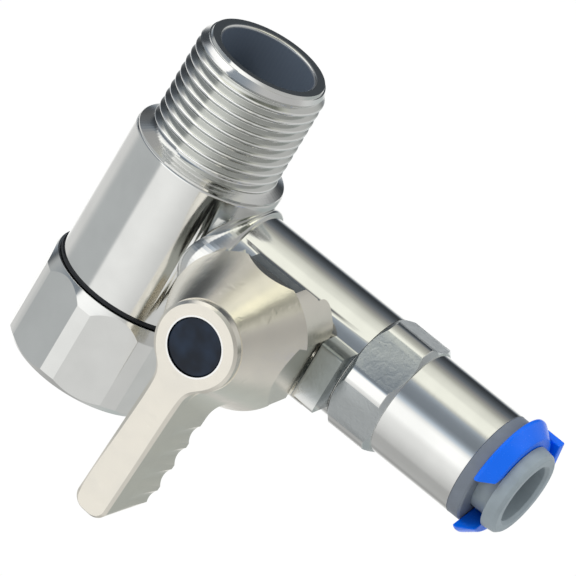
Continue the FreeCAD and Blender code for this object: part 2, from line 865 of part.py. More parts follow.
def collet():
    """Release collet: a tube with a lip inside the ring and a flange outside the clip."""
    lip_end = cap_ring_start + cap_ring_lip - assembly_gap
    lip_start = lip_end - collet_lip_length
    mouth_r = collet_bore_r + collet_mouth_chamfer
    return on_branch(turned([
        (collet_bore_r, lip_start),
        (collet_lip_r, lip_start),
        (collet_lip_r, lip_end),
        (collet_neck_r, lip_end),
        (collet_neck_r, collet_flange_back),
        (collet_flange_back_r, collet_flange_back),
        (collet_flange_front_r + collet_flange_swell, collet_front - collet_edge_length),
        (collet_flange_front_r - collet_edge_inset, collet_front),
        (mouth_r, collet_front),
        (collet_bore_r, collet_front - collet_mouth_chamfer),
    ]))


def lock_clip():
    """Snap-on clip that keeps the collet from being pushed in."""
    low = cap_ring_front + assembly_gap
    high = collet_flange_back - assembly_gap
    inner_r = collet_neck_r + assembly_gap
    body = turned([
        (inner_r, low),
        (clip_back_r, low),
        (clip_back_r, low + clip_rim_length),
        (clip_front_r, high),
        (inner_r, high),
    ])
    mouth = box(0, 2 * clip_back_r, -clip_mouth_half, clip_mouth_half, low - 1, high + 1)
    tab_end = low + clip_tab_length
    tab = box(-clip_tab_reach, clip_tab_thickness - clip_tab_reach, -clip_tab_half, clip_tab_half, low, tab_end)
    clip = body.cut(mouth).fuse(tab).removeSplitter()
    clip.rotate(V(0, 0, 0), V(0, 0, 1), branch_angle(clip_mouth_deg))
    return on_branch(clip)


# Pieces and their files

pieces = {
    "valve_body": valve_body(),
    "swivel_nut": swivel_nut(),
    "slip_washer": slip_washer(),
    "snap_ring": snap_ring(),
    "inlet_washer": inlet_washer(),
    "ball": ball(),
    "inner_seat": seat(-1),
    "outer_seat": seat(1),
    "stem": stem(),
    "thrust_washer": thrust_washer(),
    "stem_o_ring_lower": stem_o_ring(o_ring_heights[0]),
    "stem_o_ring_upper": stem_o_ring(o_ring_heights[1]),
    "handle": handle(),
    "handle_screw": handle_screw(),
    "screw_washer": screw_washer(),
    "handle_cap": handle_cap(),
    "outlet_body": outlet_body(),
    "nose_seal": nose_seal(),
    "tube_seal": tube_seal(),
    "spacer_ring": spacer_ring(),
    "grab_ring": grab_ring(),
    "cartridge_cap": cartridge_cap(),
    "collet": collet(),
    "lock_clip": lock_clip(),
}

os.makedirs("parts", exist_ok=True)
for name, shape in pieces.items():
    if shape.ShapeType == "Compound" and len(shape.Solids) == 1:
        shape = shape.Solids[0]
    shape.exportStep("parts/" + name + ".step")
    print(name, "solids", len(shape.Solids), "valid", shape.isValid(), "volume", round(shape.Volume, 1))
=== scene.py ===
# %% [markdown]
# # A tee stop valve
# The object is a small plumbing tee. A straight run stands upright, with a male thread above and
# a swivel nut below. A branch leaves it to the right through a quarter-turn ball valve, and ends
# in a push-fit socket for plastic tube. The construction model gives every piece its size and
# place, and this lesson dresses it: cut threads, broken edges, and plated, cast, machined, rubber
# and plastic finishes.

import json
import math

import bmesh
import bpy
from mathutils import Matrix, Vector


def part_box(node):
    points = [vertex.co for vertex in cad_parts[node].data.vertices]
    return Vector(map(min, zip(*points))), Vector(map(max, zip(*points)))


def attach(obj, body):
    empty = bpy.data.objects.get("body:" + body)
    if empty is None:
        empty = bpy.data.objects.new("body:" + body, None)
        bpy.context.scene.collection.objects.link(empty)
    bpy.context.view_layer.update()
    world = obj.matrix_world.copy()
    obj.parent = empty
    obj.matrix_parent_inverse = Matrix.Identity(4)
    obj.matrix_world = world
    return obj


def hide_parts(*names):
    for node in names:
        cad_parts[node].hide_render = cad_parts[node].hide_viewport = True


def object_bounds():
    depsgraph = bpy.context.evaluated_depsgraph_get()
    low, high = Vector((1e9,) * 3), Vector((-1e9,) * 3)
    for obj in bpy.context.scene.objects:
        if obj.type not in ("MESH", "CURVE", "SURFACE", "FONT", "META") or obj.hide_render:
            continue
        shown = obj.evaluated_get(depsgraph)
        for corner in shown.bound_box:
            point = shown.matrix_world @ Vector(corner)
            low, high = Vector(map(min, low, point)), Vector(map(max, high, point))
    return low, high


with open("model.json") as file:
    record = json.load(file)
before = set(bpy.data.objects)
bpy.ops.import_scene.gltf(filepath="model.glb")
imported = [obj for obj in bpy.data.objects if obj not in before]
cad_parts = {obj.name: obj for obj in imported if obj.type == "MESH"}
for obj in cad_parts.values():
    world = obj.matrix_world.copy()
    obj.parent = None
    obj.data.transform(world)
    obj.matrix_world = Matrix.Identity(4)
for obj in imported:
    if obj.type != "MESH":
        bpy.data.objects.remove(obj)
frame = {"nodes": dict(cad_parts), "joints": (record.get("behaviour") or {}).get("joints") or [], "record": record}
cad_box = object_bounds()
nodes = frame["nodes"]
box_mm = [[round(1000 * v, 1) for v in corner] for corner in cad_box]
print("nodes", len(nodes), "box in mm", box_mm)

# %% [markdown]
# All sizes below are in millimetres, as on a drawing, and become metres only where a point is
# made. The stem's axis comes from the hinge of the handle, so the branch and everything on it
# stay where the model has them.

# %% Sizes that the whole lesson uses
MM = 0.001
hinge = next(j for j in frame["joints"] if j["name"] == "handle_turn")
stem_x = 1000 * hinge["pos_m"][0]
axis_height = 1000 * hinge["pos_m"][2]
run_top = 1000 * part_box("valve_body")[1].z
print("stem at x", stem_x, "branch at z", axis_height, "top of the run", round(run_top, 2))

# %% [markdown]
# The camera stands well back with a very long lens, as for a product picture of something this
# small, and looks down on the valve a little from the handle's side. It is rolled, so that the
# run leans to the left.

# %% Camera
lens_mm = 544.8
sensor_mm = 36.0
camera_place = Vector((0.377252, -1.104967, 0.569404))
to_right = Vector((0.7469, 0.4702, 0.4701))
to_top = Vector((-0.6038, 0.1835, 0.7757))

camera_data = bpy.data.cameras.new("camera")
camera_data.lens = lens_mm
camera_data.sensor_width = sensor_mm
camera = bpy.data.objects.new("camera", camera_data)
backwards = to_right.cross(to_top).normalized()
to_top = backwards.cross(to_right).normalized()
to_right.normalize()
turn = Matrix((to_right, to_top, backwards)).transposed()
camera.matrix_world = Matrix.Translation(camera_place) @ turn.to_4x4()
bpy.context.scene.collection.objects.link(camera)
bpy.context.scene.camera = camera
print("camera looks along", [round(-v, 3) for v in backwards])

# %% [markdown]
# A finish is a tree of shader nodes. Written by hand such a tree is long, so one small class
# wraps an output of the tree. Sums written on it add the Math nodes, and its node method adds any
# other node.

# %% Shader sums as Python
class Wire:
    """One output in a node tree, on which sums can be written."""

    def __init__(self, tree, socket=None):
        self.tree = tree
        self.socket = socket

    def node(self, kind, settings=None, values=None, out=0):
        """Adds a node: its settings first, then the values or wires of its sockets."""
        made = self.tree.nodes.new(kind)
        for key, value in (settings or {}).items():
            if key == "stops":
                ramp = made.color_ramp.elements
                while len(ramp) > 1:
                    ramp.remove(ramp[0])
                for i, (place, level) in enumerate(value):
                    stop = ramp[0] if i == 0 else ramp.new(place)
                    stop.position = place
                    stop.color = (*level, 1.0)
            else:
                setattr(made, key, value)
        for key, value in (values or {}).items():
            if isinstance(value, Wire):
                self.tree.links.new(value.socket, made.inputs[key])
            else:
                made.inputs[key].default_value = value
        return Wire(self.tree, made.outputs[out])

    def maths(self, operation, first, second=0.0):
        return self.node("ShaderNodeMath", {"operation": operation}, {0: first, 1: second})

    def __add__(self, other):
        return self.maths("ADD", self, other)

    def __radd__(self, other):
        return self.maths("ADD", other, self)

    def __sub__(self, other):
        return self.maths("SUBTRACT", self, other)

    def __rsub__(self, other):
        return self.maths("SUBTRACT", other, self)

    def __mul__(self, other):
        return self.maths("MULTIPLY", self, other)

    def __rmul__(self, other):
        return self.maths("MULTIPLY", other, self)

    def smooth(self, low, high):
        """0 below low, 1 above high and a soft step between them."""
        settings = {"interpolation_type": "SMOOTHSTEP"}
        values = {"Value": self, "From Min": low, "From Max": high}
        return self.node("ShaderNodeMapRange", settings, values)

    def mix(self, first, second):
        """Colour between two, by this wire."""
        values = {"Factor": self, 6: first, 7: second}
        return self.node("ShaderNodeMix", {"data_type": "RGBA"}, values, 2)


def rgb(red, green, blue):
    """Colour with full opacity."""
    return (red, green, blue, 1.0)


# %% [markdown]
# Patterns on metal are measured in millimetres from the object's own origin, so they stay on it
# when a piece turns. The noise helpers take a size in millimetres for the grain.

# %% Coordinates and grain
def object_mm(tree):
    """Object coordinates in millimetres as three wires and as one vector."""
    start = Wire(tree)
    place = start.node("ShaderNodeTexCoord", out=3)
    scaled = start.node("ShaderNodeVectorMath", {"operation": "SCALE"}, {0: place, "Scale": 1000.0})
    parts = scaled.node("ShaderNodeSeparateXYZ", values={0: scaled}).socket.node
    axes = [Wire(tree, parts.outputs[i]) for i in range(3)]
    return scaled, axes


def grain(place, size, detail=2.0, stretch=(1.0, 1.0, 1.0)):
    """Noise whose blots are about size millimetres wide, stretched along an axis where asked."""
    scale = [1.0 / (size * s) for s in stretch]
    moved = place.node("ShaderNodeMapping", values={"Vector": place, "Scale": scale})
    values = {"Vector": moved, "Scale": 1.0, "Detail": detail}
    return place.node("ShaderNodeTexNoise", values=values)


def bump(height, depth):
    """Normal of a relief whose height wire runs from 0 to 1 over the given depth in millimetres."""
    values = {"Height": height, "Distance": depth * MM, "Strength": 1.0}
    return height.node("ShaderNodeBump", values=values)


def new_material(name):
    """Empty material with one Principled shader, and that shader."""
    material = bpy.data.materials.new(name)
    material.use_nodes = True
    tree = material.node_tree
    tree.nodes.clear()
    shader = tree.nodes.new("ShaderNodeBsdfPrincipled")
    output = tree.nodes.new("ShaderNodeOutputMaterial")
    tree.links.new(shader.outputs[0], output.inputs[0])
    return material, tree, shader


def connect(tree, shader, **wires):
    """Links wires to the shader's sockets; an underscore in a name stands for a space."""
    for key, wire in wires.items():
        tree.links.new(wire.socket, shader.inputs[key.replace("_", " ")])


# %% [markdown]
# Polished nickel plate covers the run, the nut and the branch. It is nearly a mirror: turning
# leaves rings that are too fine to see singly, and they only soften the reflections. The castings
# under it show a coarser skin where no tool has passed: the foot of the stem's boss, the stop
# block and the hexagon. The bore of the run is bare. The thread's flanks are a little rougher than
# its crests, and their colour is painted shade against a painted highlight on the crests. The
# upper part of the stop block is darkened by painted shade, and the hexagon's far flats are paler.

# %% Nickel plate
line_size, cloud_size, speck_size, swirl_size = 0.12, 6.0, 0.32, 2.4
line_depth, swirl_depth, speck_depth, pit_depth = 0.0035, 0.0045, 0.016, 0.05
line_stretch = 60.0
swirl_turns = 34.0
pit_levels = (0.70, 0.80)
cast_tone, pit_tone = rgb(0.52, 0.55, 0.56), rgb(0.30, 0.31, 0.30)
# painted highlight on the thread's crests, painted shade on its flanks and roots
painted_crest_highlight, painted_flank_shade = rgb(0.97, 0.97, 0.96), rgb(0.66, 0.67, 0.65)
bore_tone = rgb(0.125, 0.165, 0.225)


def plate_material(
    name, color, rough, turned_axis, cast_mask=None, dull_mask=None, flank_mask=None, patch=None,
):
    """Plate with fine turning lines across one axis.

    Masks say where it has a cast skin, where it is a bare dull bore, and where it is a thread's
    flank, whose colour is painted shade against a painted highlight on the crests. A patch is a
    mask and a colour laid over the plate there, such as painted shade.
    """
    material, tree, shader = new_material(name)
    place, axes = object_mm(tree)
    shader.inputs["Metallic"].default_value = 1.0
    stretch = [line_stretch] * 3
    stretch[turned_axis] = 1.0
    lines = grain(place, line_size, 1.0, stretch)
    clouds = grain(place, cloud_size, 3.0)
    specks = grain(place, speck_size, 3.0)
    roughness = rough + 0.05 * clouds + 0.06 * lines
    relief = lines * line_depth
    tone = clouds.smooth(0.3, 0.75).mix(rgb(*color), rgb(*(0.94 * c for c in color)))
    if cast_mask is not None:
        mask = cast_mask(place, axes)
        swirls = place.maths("SINE", grain(place, swirl_size, 2.0) * swirl_turns)
        pits = specks.smooth(*pit_levels)
        roughness = roughness + mask * (0.22 + 0.03 * swirls)
        skin = swirls * swirl_depth + specks * speck_depth - pits * pit_depth
        relief = relief * (1.0 - mask) + mask * skin
        tone = mask.mix(tone, pits.mix(cast_tone, pit_tone))
    # a patch lays a colour over the plate; the body's patch is painted shade
    if patch is not None:
        patch_mask, patch_tone = patch
        tone = patch_mask(place, axes).mix(tone, patch_tone)
    # painted highlight on the crests and painted shade on the flanks and roots
    if flank_mask is not None:
        mask = flank_mask(place, axes)
        roughness = roughness + mask * 0.03
        tone = mask.mix(painted_crest_highlight, painted_flank_shade)
    if dull_mask is not None:
        mask = dull_mask(place, axes)
        roughness = roughness + mask * 0.30
        tone = mask.mix(tone, bore_tone)
        connect(tree, shader, Metallic=1.0 - 0.75 * mask)
    connect(tree, shader, Base_Color=tone, Roughness=roughness, Normal=bump(relief, 1.0))
    return material


# %% [markdown]
# The masks are soft steps on the coordinates, each given by the two places between which it
# rises. The hexagon is a band along the branch. For the body a region in front of the branch
# takes in the boss's foot and the block, and leaves the turned tube smooth. Smaller ones mark the
# bore, the upper part of the block that takes painted shade, the hexagon's paler far flats and
# the thread below its crests, whose colour there is painted shade.

# %% Where each skin shows
hex_starts, hex_ends = (37.7, 37.9), (45.9, 46.1)
hex_corner_r = (9.72, 9.80)
far_side = (-0.6, 0.0)
bore_wall_r = (7.55, 7.9)
tube_skin_r = (9.3, 9.6)
foot_front, foot_starts = (1.0, 2.0), (14.5, 15.2)
block_starts = (31.0, 31.5)
block_ground = (23.8, 25.8)
block_front, block_dark = (9.5, 10.5), (23.9, 27.6)
crest_r = (10.28, 10.40)
end_face = (55.9, 56.1)


def reach(first, second):
    """Distance from an axis, from the two coordinates across it."""
    squares = first * first + second * second
    return squares.maths("SQRT", squares)


def hexagon_band(place, axes):
    """The hexagon's flats between its two end faces, without its turned corners."""
    along, across, height = axes
    distance = reach(across, height - axis_height)
    within = along.smooth(*hex_starts) * (1.0 - along.smooth(*hex_ends))
    return within * (1.0 - distance.smooth(*hex_corner_r))


def far_flats(place, axes):
    """The hexagon's flats on the side away from the handle, which are given a paler tone."""
    along, across, height = axes
    return hexagon_band(place, axes) * across.smooth(*far_side)


def run_bore(place, axes):
    """Inside of the run, which is bare and rough."""
    along, across, height = axes
    return 1.0 - reach(along, across).smooth(*bore_wall_r)


def foot_and_block(place, axes):
    """In front of the tube and beyond its radius, without the block's ground end."""
    along, across, height = axes
    beyond = reach(across, height - axis_height).smooth(*tube_skin_r)
    ground = along.smooth(*block_starts) * (1.0 - height.smooth(*block_ground))
    in_front = (0.0 - across).smooth(*foot_front)
    return beyond * in_front * along.smooth(*foot_starts) * (1.0 - ground)


# painted shade on the stop block's upper part
def painted_shade_block_top(place, axes):
    """Upper part of the stop block, next to the ear, darkened by painted shade."""
    along, across, height = axes
    in_front = (0.0 - across).smooth(*block_front)
    return along.smooth(*block_starts) * in_front * height.smooth(*block_dark)


def below_crests(place, axes):
    """Flanks and roots of the outlet's thread, coloured with painted shade below the crests."""
    along, across, height = axes
    return (1.0 - reach(along, across).smooth(*crest_r)) * (1.0 - height.smooth(*end_face))


nickel = (0.80, 0.805, 0.79)
# painted shade for the upper part of the stop block
painted_block_shade = rgb(0.29, 0.315, 0.305)
bright = rgb(0.90, 0.94, 0.94)
x_axis, y_axis, z_axis = 0, 1, 2
body_plate = plate_material(
    "nickel_body", nickel, 0.055, z_axis, foot_and_block, run_bore, patch=(painted_shade_block_top, painted_block_shade),
)
thread_plate = plate_material("nickel_thread", nickel, 0.07, z_axis, flank_mask=below_crests)
nut_plate = plate_material("nickel_nut", nickel, 0.08, z_axis)
outlet_plate = plate_material(
    "nickel_outlet", nickel, 0.055, x_axis, hexagon_band, patch=(far_flats, bright),
)
ball_plate = plate_material("nickel_ball", nickel, 0.06, y_axis)
print("plate materials", len(bpy.data.materials))

# %% [markdown]
# The handle is a zinc casting under satin nickel, a little warm in colour. Its skin has a fine
# tooth that spreads the light, with a few shallow dents from handling. A painted highlight, a
# thin white ring of colour, runs round the inner rim of the eye's face.

# %% Satin plate of the handle
satin_tone, satin_shade = rgb(0.865, 0.825, 0.74), rgb(0.83, 0.795, 0.72)
# painted highlight: white colour on the inner rim of the eye's face
painted_rim_highlight = rgb(0.98, 0.98, 0.97)
rim_r = (4.66, 4.78)
rim_face = (-30.1, -30.0)


def satin_material():
    """Satin nickel with a fine tooth, shallow waves, dents and a painted highlight round the eye."""
    material, tree, shader = new_material("satin_nickel")
    place, axes = object_mm(tree)
    shader.inputs["Metallic"].default_value = 1.0
    tooth = grain(place, 0.22, 3.0)
    waves = grain(place, 5.0, 2.0)
    dents = grain(place, 1.6, 1.0).smooth(0.62, 0.72)
    tone = waves.smooth(0.3, 0.7).mix(satin_tone, satin_shade)
    roughness = 0.17 + 0.08 * tooth + 0.05 * waves
    along, across, height = axes
    distance = reach(along - stem_x, height - axis_height)
    # painted highlight: a white ring of colour round the eye's inner rim
    rim = (1.0 - distance.smooth(*rim_r)) * (1.0 - across.smooth(*rim_face))
    tone = rim.mix(tone, painted_rim_highlight)
    relief = tooth * 0.010 + waves * 0.05 - dents * 0.008
    connect(tree, shader, Base_Color=tone, Roughness=roughness, Normal=bump(relief, 1.0))
    return material


satin = satin_material()

# %% [markdown]
# The other finishes are simpler. Rubber is dull and almost black. The moulded plastics have a
# fine spark-eroded texture, and differ in colour and shine. Stainless steel is brushed, and the
# stem is plain machined brass.

# %% Rubber, plastic, steel and brass
def moulded_material(
    name, color, rough, tooth_size=0.25, tooth_depth=0.006, shade=0.85, shine=0.5,
):
    """Plastic or rubber with a fine texture and a slight unevenness of colour."""
    material, tree, shader = new_material(name)
    shader.inputs["Specular IOR Level"].default_value = shine
    place, axes = object_mm(tree)
    tooth = grain(place, tooth_size, 2.0)
    clouds = grain(place, 3.5, 2.0)
    tone = clouds.smooth(0.25, 0.75).mix(rgb(*color), rgb(*(shade * c for c in color)))
    roughness = rough + 0.08 * tooth
    connect(tree, shader, Base_Color=tone, Roughness=roughness, Normal=bump(tooth, tooth_depth))
    return material


def brushed_material(name, color, rough):
    """Bare metal with fine tool lines."""
    material, tree, shader = new_material(name)
    place, axes = object_mm(tree)
    shader.inputs["Metallic"].default_value = 1.0
    lines = grain(place, 0.08, 1.0, (30.0, 1.0, 30.0))
    clouds = grain(place, 2.5, 2.0)
    tone = clouds.smooth(0.3, 0.7).mix(rgb(*color), rgb(*(0.88 * c for c in color)))
    connect(tree, shader, Base_Color=tone, Roughness=rough + 0.1 * lines, Normal=bump(lines, 0.004))
    return material


black_rubber = moulded_material("black_rubber", (0.022, 0.022, 0.024), 0.55)
black_plastic = moulded_material("black_plastic", (0.008, 0.010, 0.014), 0.32, shine=0.35)
white_plastic = moulded_material("white_plastic", (0.80, 0.80, 0.78), 0.38, shade=0.96)
ring_plastic = moulded_material("dark_grey_plastic", (0.185, 0.215, 0.26), 0.36, 0.35, 0.016)
collet_plastic = moulded_material("grey_plastic", (0.32, 0.38, 0.415), 0.34)
clip_plastic = moulded_material(
    "blue_plastic", (0.0, 0.155, 0.96), 0.22, tooth_depth=0.002, shade=0.94, shine=0.35,
)
cap_plastic = moulded_material(
    "navy_plastic", (0.013, 0.027, 0.055), 0.30, 0.18, 0.006, shade=0.3, shine=0.3,
)
steel = brushed_material("stainless_steel", (0.60, 0.61, 0.62), 0.28)
brass = brushed_material("machined_brass", (0.72, 0.56, 0.27), 0.26)
print("materials", len(bpy.data.materials))

# %% [markdown]
# A node's mesh comes as plain facets with sharp corners. Real edges are broken, and the thin
# light lines that they show do much for the look. A copy of each seen node is joined up, its flat
# faces are made whole, and a Bevel modifier rounds its edges where asked. Hidden pieces keep the
# node as it is.

# %% Fair copies of the nodes
def joined_copy(node, flat_deg=0.4):
    """A bmesh of a node with its corners joined and its flat faces whole, within some degrees."""
    mesh = nodes[node].data.copy()
    if "custom_normal" in mesh.attributes:
        mesh.attributes.remove(mesh.attributes["custom_normal"])
    shape = bmesh.new()
    shape.from_mesh(mesh)
    bpy.data.meshes.remove(mesh)
    bmesh.ops.remove_doubles(shape, verts=shape.verts, dist=1e-7)
    bmesh.ops.dissolve_limit(
        shape, angle_limit=math.radians(flat_deg), verts=shape.verts, edges=shape.edges,
    )
    return shape


def finished_piece(
    name, shape, material, body, edge=0.0, edge_angle=32.0, soft=False, replaced=(),
):
    """Turns a bmesh into a piece that is smooth up to its edges, rounded by edge millimetres.

    A soft piece's chamfers shade as if they were round, because its large faces keep their own
    normals.
    """
    mesh = bpy.data.meshes.new(name)
    shape.to_mesh(mesh)
    shape.free()
    mesh.polygons.foreach_set("use_smooth", [True] * len(mesh.polygons))
    mesh.set_sharp_from_angle(angle=math.radians(edge_angle))
    mesh.materials.append(material)
    mesh.polygons.foreach_set("material_index", [0] * len(mesh.polygons))
    piece = bpy.data.objects.new(name, mesh)
    bpy.context.scene.collection.objects.link(piece)
    if edge > 0:
        rounding = piece.modifiers.new("edges", "BEVEL")
        rounding.width = edge * MM
        rounding.segments = 2
        rounding.limit_method = "ANGLE"
        rounding.angle_limit = math.radians(edge_angle)
        rounding.harden_normals = True
        rounding.miter_outer = "MITER_ARC"
    if soft:
        shading = piece.modifiers.new("shading", "WEIGHTED_NORMAL")
        shading.keep_sharp = True
        shading.weight = 80
    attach(piece, body)
    if replaced:
        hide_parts(*replaced)
    print(name, "faces", len(mesh.polygons))


# %% [markdown]
# A thread is a ridge that climbs as it goes round. The ridge's section is one small face, its two
# outer corners rounded, and a spin that also lifts carries it round. It is made a turn too long
# at both ends and cut off flat. The outlet's thread is finer and shallower than the one inside
# the nut, which has the full pipe thread form.

# %% One helper for both threads
turn_gap = 0.06             # between the feet of one turn and the next
ridge_sunk = 0.22           # depth of the ridge's foot inside the core
crest_rounding = 0.07


def thread_ridge(crest_r, depth, pitch, crest_half, low, high, steps=72):
    """Closed helical ridge between two heights. A negative depth points its crest inwards."""
    root_half = pitch / 2 - turn_gap / 2
    root_r = crest_r - depth
    foot_r = root_r - math.copysign(ridge_sunk, depth)
    outline = [(foot_r, -root_half), (root_r, -root_half), (crest_r, -crest_half)]
    outline += [(r, -h) for r, h in reversed(outline)]
    shape = bmesh.new()
    corners = [shape.verts.new((r * MM, 0, (low - pitch + h) * MM)) for r, h in outline]
    shape.faces.new(corners)
    bmesh.ops.bevel(
        shape, geom=[corners[2], corners[3]], offset=crest_rounding * MM, offset_type="OFFSET",
        affect="VERTICES", segments=2, profile=0.5, material=-1,
    )
    turns = math.ceil((high - low) / pitch) + 2
    everything = shape.faces[:] + shape.edges[:] + shape.verts[:]
    bmesh.ops.spin(
        shape, geom=everything, cent=(0, 0, 0), axis=(0, 0, 1),
        dvec=(0, 0, pitch / steps * MM), angle=2 * math.pi * turns, steps=steps * turns,
    )
    for height, upwards in ((low, -1), (high, 1)):
        everything = shape.verts[:] + shape.edges[:] + shape.faces[:]
        bmesh.ops.bisect_plane(
            shape, geom=everything, plane_co=(0, 0, height * MM), plane_no=(0, 0, upwards),
            clear_outer=True,
        )
        bmesh.ops.holes_fill(shape, edges=[e for e in shape.edges if e.is_boundary], sides=0)
    bmesh.ops.recalc_face_normals(shape, faces=shape.faces)
    return shape


def turn_down(shape, largest):
    """Brings every point back to the radius that largest gives for its height, as a lathe would."""
    for v in shape.verts:
        radius = math.hypot(v.co.x, v.co.y)
        limit = largest(1000 * v.co.z) * MM
        if radius > limit:
            v.co.x *= limit / radius
            v.co.y *= limit / radius


# %% [markdown]
# In the construction model the outlet's thread is rings that don't climb. In the copy they are
# turned down to the thread's root, and the ridge goes round in their place, with the same chamfer
# at its end.

# %% Body with its outlet thread
shoulder = 39.7
thread_r = 10.4775
outlet_depth = 0.9
outlet_pitch = 1.61
outlet_crest_half = 0.10
first_crest = 41.26
ridge_start = first_crest - 0.5
ridge_end = run_top - 0.5
end_chamfer_in, end_chamfer_along = 1.2, 1.8
neck_r = thread_r - outlet_depth


def chamfered(height):
    """Largest radius at a height: full below the chamfer, then straight in to the end."""
    over = max(0.0, height - (run_top - end_chamfer_along))
    return thread_r - over * end_chamfer_in / end_chamfer_along


def core(height):
    """Radius under the ridge: the thread's root above the shoulder, and no limit below it."""
    return neck_r if height > shoulder + 0.01 else math.inf


body = joined_copy("valve_body")
turn_down(body, core)
bmesh.ops.remove_doubles(body, verts=body.verts, dist=1e-6)
finished_piece(
    "run_and_branch", body, body_plate, "valve", edge=0.12, edge_angle=50.0,
    soft=True, replaced=("valve_body",),
)

ridge = thread_ridge(
    thread_r, outlet_depth, outlet_pitch, outlet_crest_half, ridge_start, ridge_end,
)
turn_down(ridge, chamfered)
print("thread ridge closed", all(e.is_manifold for e in ridge.edges))
finished_piece("outlet_thread_ridge", ridge, thread_plate, "valve", edge_angle=12.0)

# %% [markdown]
# The thread's neck runs out on to the shoulder in a hollow slope. Its section is drawn outwards
# from the neck and upwards from the shoulder, sunk a little into both, and spun. A full spin
# leaves the drawn face inside, and the helper takes it out.

# %% Hollow slope at the thread's foot
def spun(corners, centre, axis, steps):
    """Closed ring from the corners of a section in the XZ plane, in millimetres."""
    shape = bmesh.new()
    shape.faces.new([shape.verts.new([c * MM for c in corner]) for corner in corners])
    everything = shape.faces[:] + shape.edges[:] + shape.verts[:]
    bmesh.ops.spin(
        shape, geom=everything, cent=centre, axis=axis, angle=2 * math.pi, steps=steps,
        use_merge=True,
    )
    bmesh.ops.remove_doubles(shape, verts=shape.verts, dist=1e-7)
    drawn = [
        f for f in shape.faces if abs(f.calc_center_median().y) < 1e-9 and abs(f.normal.y) > 0.9
    ]
    bmesh.ops.delete(shape, geom=drawn, context="FACES_ONLY")
    return shape


slope = [
    (0.0, 2.1), (0.06, 1.7), (0.2, 1.35), (0.42, 1.08), (0.72, 0.86), (1.1, 0.67), (1.7, 0.4),
    (2.42, 0.1),
]
slope_out, slope_up = slope[-1][0], slope[0][1]
sunk = 0.2
section = [(neck_r + out, shoulder + up) for out, up in slope]
section += [
    (neck_r + slope_out, shoulder - sunk), (neck_r - sunk, shoulder - sunk),
    (neck_r - sunk, shoulder + slope_up),
]
fillet = spun([(r, 0, h) for r, h in section], (0, 0, 0), (0, 0, 1), 96)
bmesh.ops.recalc_face_normals(fillet, faces=fillet.faces)
print("fillet closed", all(e.is_manifold for e in fillet.edges))
finished_piece("neck_fillet", fillet, body_plate, "valve", edge_angle=40.0)

# %% [markdown]
# Where the branch leaves the run stands a raised collar, which the casting and the polishing have
# left softly crowned. The crown's section is drawn over a width of one and spun round the
# branch's axis. Then every point is moved along that axis to its share of the collar's width
# there, from the run's round side to the collar's end.

# %% Crowned collar at the branch's root
run_r = 12.2
collar_end = 12.78
collar_r = 9.72
collar_foot_r = 8.9
collar_crown = 0.6
collar_drop = 0.27
collar_points = 14
widest = collar_end - math.sqrt(run_r ** 2 - collar_r ** 2)


def crown_r(share):
    """Radius of the crown at a share of the collar's width, lower at its far end."""
    return collar_r + collar_crown * math.sin(math.pi * share) - collar_drop * share ** 6


shares = [k / collar_points for k in range(collar_points + 1)]
section = [(u, crown_r(u)) for u in shares] + [(1.0, collar_foot_r), (0.0, collar_foot_r)]
branch_axis = (0, 0, axis_height * MM)
collar = spun([(u, 0, axis_height + r) for u, r in section], branch_axis, (1, 0, 0), 120)
for v in collar.verts:
    across, height = 1000 * v.co.y, 1000 * v.co.z - axis_height
    begins = math.sqrt(run_r ** 2 - across ** 2)
    rise = math.hypot(across, height) - collar_r
    if rise > 0:
        share = 1 - rise * (1 - (collar_end - begins) / widest) / (collar_r + rise)
        v.co.y = across * share * MM
        v.co.z = (axis_height + height * share) * MM
    v.co.x = (begins + 1000 * v.co.x * (collar_end - begins)) * MM
bmesh.ops.recalc_face_normals(collar, faces=collar.faces)
print("collar closed", all(e.is_manifold for e in collar.edges))
finished_piece("branch_root_collar", collar, body_plate, "valve", edge_angle=40.0)

# %% [markdown]
# The nut carries the full pipe thread on its inside. Its bore is opened to the thread's outer
# size and the ridge's crest points inwards. The black washer above the nut shows a little less
# than the nut's width, so its edge is turned down.

# %% Swivel nut with its thread, and its washer
nut_bore_r = 9.3155
nut_thread_end = 8.15
nut_thread_depth = 1.162
nut_pitch = 1.814
nut_crest_half = 0.26
nut_thread_start = 0.4
washer_edge_r = 12.45
nut = joined_copy("swivel_nut")
for v in nut.verts:
    radius = 1000 * math.hypot(v.co.x, v.co.y)
    if abs(radius - nut_bore_r) < 0.02:
        share = (nut_bore_r + nut_thread_depth) / radius
        v.co.x *= share
        v.co.y *= share
finished_piece(
    "union_nut", nut, nut_plate, "nut", edge=0.09, edge_angle=11.0,
    replaced=("swivel_nut",),
)
washer = joined_copy("slip_washer")
turn_down(washer, lambda height: washer_edge_r)
finished_piece(
    "nut_washer", washer, black_plastic, "valve", edge=0.05,
    replaced=("slip_washer",),
)
ridge = thread_ridge(
    nut_bore_r, -nut_thread_depth, nut_pitch, nut_crest_half, nut_thread_start, nut_thread_end,
)
print("nut ridge closed", all(e.is_manifold for e in ridge.edges))
finished_piece("inlet_thread_ridge", ridge, nut_plate, "nut", edge_angle=50.0)

# %% [markdown]
# The outlet piece and the parts at the mouth of the socket keep the construction model's shapes,
# with broken edges. The handle's own blends are fine enough, so its copy is only joined and needs
# no Bevel modifier.

